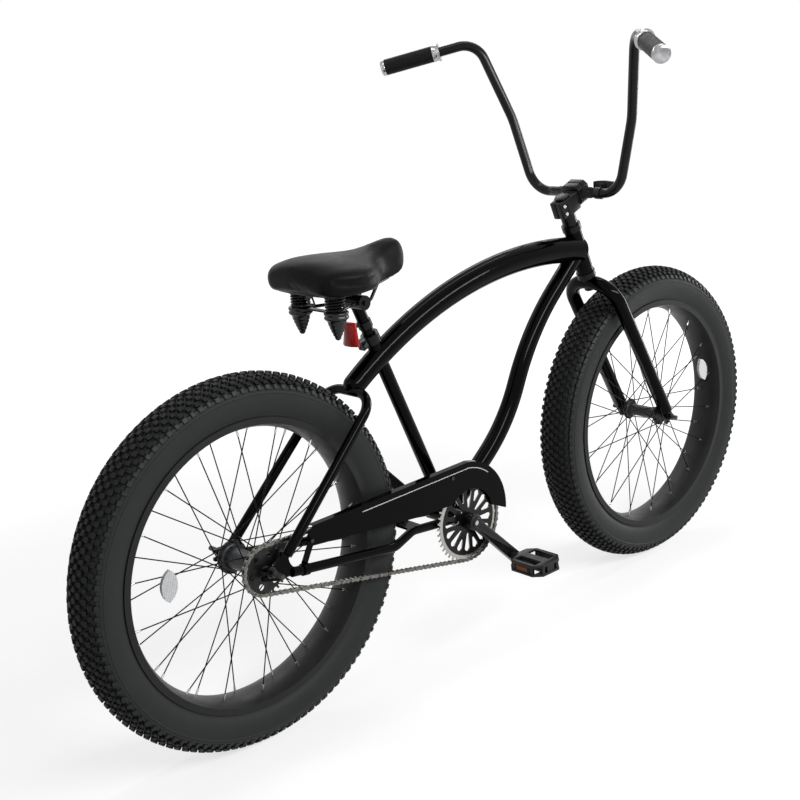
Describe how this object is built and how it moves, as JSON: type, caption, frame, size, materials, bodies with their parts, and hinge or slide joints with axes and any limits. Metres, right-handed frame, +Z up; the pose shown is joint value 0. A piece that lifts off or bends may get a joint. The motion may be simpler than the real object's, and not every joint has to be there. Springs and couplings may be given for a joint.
{
  "type": "bicycle",
  "caption": "Beach cruiser bicycle with fat tyres, a swept arched frame, tall swept-back handlebar, sprung saddle, chain guard, and turning wheels, cranks, pedals and steering.",
  "frame": {"origin": "on the ground, midway between the two axles, in the middle plane", "axes": "+X forward, +Y to the rider's left, +Z up"},
  "size_m": [1.9939, 0.821, 1.3046],
  "materials": {
    "black_paint": "gloss",
    "black_aluminium": "satin black",
    "black_steel": "satin",
    "grey_hub": "satin",
    "bright_steel": "zinc plated",
    "chain_steel": "oiled",
    "chrome": "polished",
    "spring_steel": "black",
    "tyre_rubber": "matt",
    "black_rubber": "matt",
    "saddle_vinyl": "grained vinyl",
    "black_plastic": "moulded",
    "red_plastic": "prismatic",
    "clear_plastic": "prismatic"
  },
  "bodies": {
    "frame": {"head_tube": "black_paint", "top_tube": "black_paint", "down_tube": "black_paint", "seat_tube": "black_paint", "bottom_bracket_shell": "black_paint", "seat_stays": "black_paint", "chain_stays": "black_paint", "rear_dropouts": "black_paint", "seat_clamp": "black_steel", "frame_bolts": "bright_steel", "bearing_cups": "black_steel", "chain_guard": "black_paint", "chain_guard_clips": "black_paint", "chain": "chain_steel", "rear_axle": "bright_steel", "rear_axle_nuts": "bright_steel", "brake_arm": "black_steel"},
    "seat": {"seat_post": "black_paint", "saddle_clamp": "black_steel", "saddle_rails": "black_steel", "saddle_springs": "spring_steel", "spring_boots": "black_rubber", "saddle_base": "black_plastic", "saddle_cover": "saddle_vinyl", "rear_reflector": "red_plastic", "rear_reflector_bracket": "black_steel"},
    "steering": {"fork_blades": "black_paint", "steerer_tube": "black_steel", "headset_races": "black_steel", "stem": "black_steel", "stem_faceplate": "black_steel", "stem_fittings": "bright_steel", "handlebar": "black_paint", "grips": "black_rubber", "grip_chrome": "chrome", "front_reflector": "clear_plastic", "front_axle": "bright_steel", "front_axle_nuts": "bright_steel"},
    "front_wheel": {"front_tyre": "tyre_rubber", "front_inner_tube": "black_rubber", "front_rim": "black_aluminium", "front_spokes": "black_steel", "front_nipples": "bright_steel", "front_hub": "grey_hub", "front_wheel_reflector": "clear_plastic"},
    "rear_wheel": {"rear_tyre": "tyre_rubber", "rear_inner_tube": "black_rubber", "rear_rim": "black_aluminium", "rear_spokes": "black_steel", "rear_nipples": "bright_steel", "rear_hub": "grey_hub", "rear_wheel_reflector": "clear_plastic"},
    "driver": {"rear_sprocket": "bright_steel"},
    "crank": {"crank_spindle": "bright_steel", "crank_right": "black_steel", "crank_left": "black_steel", "chainring": "bright_steel", "pedal_axles": "bright_steel"},
    "pedal_right_body": {"pedal_right": "black_plastic"},
    "pedal_left_body": {"pedal_left": "black_plastic"}
  },
  "joints": [
    {"name": "seat_height", "type": "slide", "parent": "frame", "child": "seat", "axis": [-0.3939, 0, 0.9191], "range_m": [0, 0.08]},
    {"name": "steering", "type": "hinge", "parent": "frame", "child": "steering", "pos_m": [0.41037, 0, 0.75588], "axis": [-0.3843, 0, 0.9232], "range_deg": [-90, 90]},
    {"name": "front_wheel_spin", "type": "hinge", "parent": "steering", "child": "front_wheel", "pos_m": [0.627, 0, 0.37], "axis": [0, 1, 0], "continuous": true},
    {"name": "rear_wheel_spin", "type": "hinge", "parent": "frame", "child": "rear_wheel", "pos_m": [-0.627, 0, 0.37], "axis": [0, 1, 0], "continuous": true},
    {"name": "crank_spin", "type": "hinge", "parent": "frame", "child": "crank", "pos_m": [-0.08618, 0, 0.306], "axis": [0, 1, 0], "continuous": true, "deforming": ["chain"]},
    {"name": "driver_spin", "type": "hinge", "parent": "frame", "child": "driver", "pos_m": [-0.627, 0, 0.37], "axis": [0, 1, 0], "continuous": true, "deforming": ["chain"]},
    {"name": "pedal_right_spin", "type": "hinge", "parent": "crank", "child": "pedal_right_body", "pos_m": [0.03611, 0, 0.18791], "axis": [0, 1, 0], "continuous": true},
    {"name": "pedal_left_spin", "type": "hinge", "parent": "crank", "child": "pedal_left_body", "pos_m": [-0.20846, 0, 0.42409], "axis": [0, 1, 0], "continuous": true}
  ],
  "couplings": [
    {"joint": "driver_spin", "follows": "crank_spin", "ratio": 1.8333}
  ]
}
